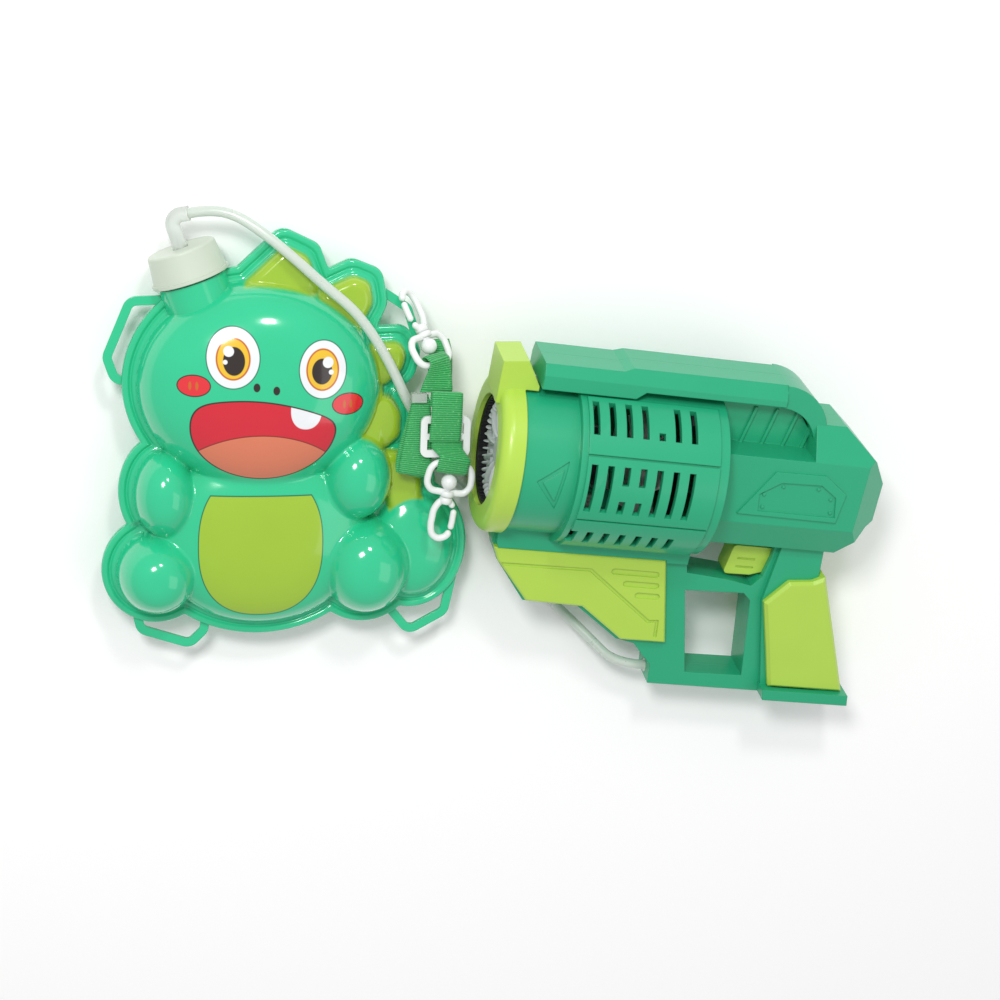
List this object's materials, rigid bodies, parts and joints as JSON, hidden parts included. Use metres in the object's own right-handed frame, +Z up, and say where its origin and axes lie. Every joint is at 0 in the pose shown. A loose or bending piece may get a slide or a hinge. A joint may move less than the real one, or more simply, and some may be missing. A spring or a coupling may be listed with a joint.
{
  "type": "bubble machine",
  "caption": "Dinosaur-shaped solution tank with a hose to a battery bubble gun, and a carrying strap with snap hooks.",
  "frame": {"origin": "on the table, under the middle of the whole set", "axes": "+X from the tank to the back of the gun, +Y towards the top of the tank and of the gun, +Z up from the table"},
  "size_m": [0.3868, 0.2563, 0.0864],
  "materials": {
    "tank_green": "gloss",
    "neck_white": "satin",
    "cap_cream": "satin",
    "clear_plastic": "gloss",
    "hose_clear": "satin",
    "gun_green": "satin",
    "lime": "satin",
    "black": "satin",
    "wheel_grey": "satin",
    "white_gear": "satin",
    "steel": "satin",
    "cell": "satin",
    "door_green": "satin",
    "webbing": "woven",
    "hook_white": "gloss"
  },
  "bodies": {
    "set": {"battery_cells": "cell", "battery_contacts": "steel", "bulkhead": "black", "cap_fitting": "clear_plastic", "delivery_tube": "hose_clear", "dip_strainer": "hose_clear", "dip_tube": "hose_clear", "door_pin": "steel", "drive_motor": "steel", "fan_motor": "steel", "feed_tube": "hose_clear", "filler_neck": "neck_white", "foregrip_panel_left": "lime", "foregrip_panel_right": "lime", "grip_cover_left": "lime", "grip_cover_right": "lime", "gun_shell_left": "gun_green", "gun_shell_right": "gun_green", "hook_lower_eye": "hook_white", "hook_upper_eye": "hook_white", "hose_end": "hose_clear", "hose_hank": "hose_clear", "hose_run": "hose_clear", "housing_screws": "steel", "inlet_barb": "hose_clear", "motor_spider": "black", "muzzle_collar": "black", "muzzle_ring": "lime", "pump_body": "black", "pump_tube": "hose_clear", "strap_adjuster": "hook_white", "strap_back_fold": "webbing", "strap_bundle": "webbing", "strap_front": "webbing", "strap_lower_end": "webbing", "strap_tie": "clear_plastic", "strap_upper_end": "webbing", "tank_front_shell": "tank_green", "tank_rear_shell": "tank_green", "trigger_spring": "steel", "trigger_switch": "black"},
    "cap_lift": {"cap_washer": "neck_white"},
    "cap": {"tank_cap": "cap_cream"},
    "bubble_drive": {"bubble_wheel": "wheel_grey", "wheel_shaft": "steel", "wheel_gear": "white_gear", "pump_rotor": "white_gear", "pump_rollers": "white_gear"},
    "pinion": {"motor_pinion": "white_gear", "motor_shaft": "steel"},
    "fan": {"fan": "white_gear", "fan_shaft": "steel"},
    "trigger": {"trigger": "lime"},
    "battery_door": {"battery_door": "door_green", "door_screw": "steel"},
    "upper_hook": {"hook_upper_body": "hook_white"},
    "upper_gate": {"hook_upper_gate": "hook_white"},
    "lower_hook": {"hook_lower_body": "hook_white"},
    "lower_gate": {"hook_lower_gate": "hook_white"}
  },
  "joints": [
    {"name": "cap_rise", "type": "slide", "parent": "set", "child": "cap_lift", "axis": [-0.3355, 0.9421, 0], "range_m": [0, 0.0045]},
    {"name": "cap_turn", "type": "hinge", "parent": "cap_lift", "child": "cap", "pos_m": [-0.15284, 0.10065, 0.019], "axis": [-0.3355, 0.9421, 0], "range_deg": [0, 540]},
    {"name": "wheel_spin", "type": "hinge", "parent": "set", "child": "bubble_drive", "pos_m": [0.00985, 0.01251, 0.0432], "axis": [0.9945, -0.1045, 0], "continuous": true},
    {"name": "pinion_spin", "type": "hinge", "parent": "set", "child": "pinion", "pos_m": [0.01991, -0.01616, 0.03771], "axis": [0.9945, -0.1045, 0], "continuous": true},
    {"name": "fan_spin", "type": "hinge", "parent": "set", "child": "fan", "pos_m": [0.06952, 0.00624, 0.0432], "axis": [0.9945, -0.1045, 0], "continuous": true},
    {"name": "trigger_pull", "type": "slide", "parent": "set", "child": "trigger", "axis": [0.9945, -0.1045, 0], "range_m": [0, 0.004], "stiffness_N_per_m": 900, "springref_m": -0.003, "deforming": ["trigger_spring"]},
    {"name": "door_hinge", "type": "hinge", "parent": "set", "child": "battery_door", "pos_m": [0.18872, -0.12244, 0.02012], "axis": [-0.0205, -0.1949, 0.9806], "range_deg": [0, 100]},
    {"name": "upper_swivel", "type": "hinge", "parent": "set", "child": "upper_hook", "pos_m": [-0.03724, 0.06355, 0.033], "axis": [-0.3652, 0.8465, -0.3873], "range_deg": [-3, 3]},
    {"name": "upper_gate_hinge", "type": "hinge", "parent": "upper_hook", "child": "upper_gate", "pos_m": [-0.0462, 0.07625, 0.03074], "axis": [-0.6048, -0.532, -0.5926], "range_deg": [0, 25], "stiffness_Nm_per_rad": 0.01, "springref_deg": -20.05},
    {"name": "lower_swivel", "type": "hinge", "parent": "set", "child": "lower_hook", "pos_m": [-0.02704, -0.00155, 0.0446], "axis": [-0.1388, -0.9885, -0.0599], "continuous": true},
    {"name": "lower_gate_hinge", "type": "hinge", "parent": "lower_hook", "child": "lower_gate", "pos_m": [-0.02419, -0.01697, 0.04371], "axis": [0.0083, 0.0593, -0.9982], "range_deg": [0, 25], "stiffness_Nm_per_rad": 0.01, "springref_deg": -20.05}
  ],
  "couplings": [
    {"joint": "cap_rise", "follows": "cap_turn", "m_per_rad": 0.00047746},
    {"joint": "pinion_spin", "follows": "wheel_spin", "ratio": -4}
  ]
}
